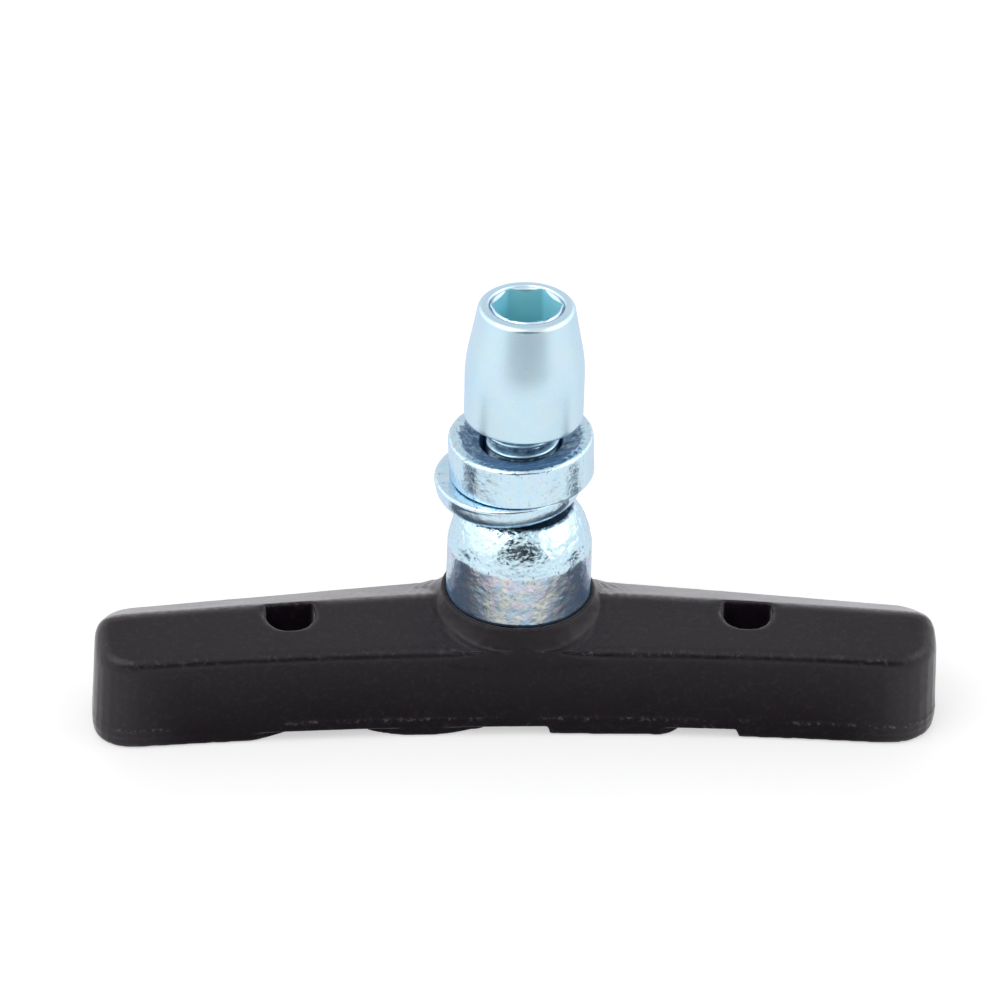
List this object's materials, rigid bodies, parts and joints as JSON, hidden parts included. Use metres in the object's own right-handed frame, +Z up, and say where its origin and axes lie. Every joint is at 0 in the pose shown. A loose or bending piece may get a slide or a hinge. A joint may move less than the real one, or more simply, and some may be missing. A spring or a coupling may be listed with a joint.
{
  "type": "bicycle brake pad",
  "caption": "Threaded bicycle rim brake pad: curved rubber block with a moulded-in plated stud, domed spacer, washers and a barrel nut with hex socket.",
  "frame": {"origin": "on the stud's axis, in the plane of the friction face", "axes": "+X along the pad, +Y towards the outer side of the rim, +Z up the stud, away from the rim"},
  "size_m": [0.0702, 0.0152, 0.0374],
  "materials": {
    "block_rubber": "moulded black rubber, matt, with scuffed edges",
    "plate_steel": "plain sheet steel",
    "stud_zinc": "bright blue zinc plate on a rolled thread",
    "forged_zinc": "bright blue zinc plate on rough pressed steel, with faint rainbow tints",
    "nut_zinc": "bright blue zinc plate on smooth turned steel"
  },
  "bodies": {
    "root": {"rubber_block": "block_rubber", "backing_plate": "plate_steel", "threaded_stud": "stud_zinc", "domed_spacer": "forged_zinc", "cup_washer": "forged_zinc", "seat_ring": "forged_zinc", "barrel_nut": "nut_zinc"}
  },
  "joints": []
}
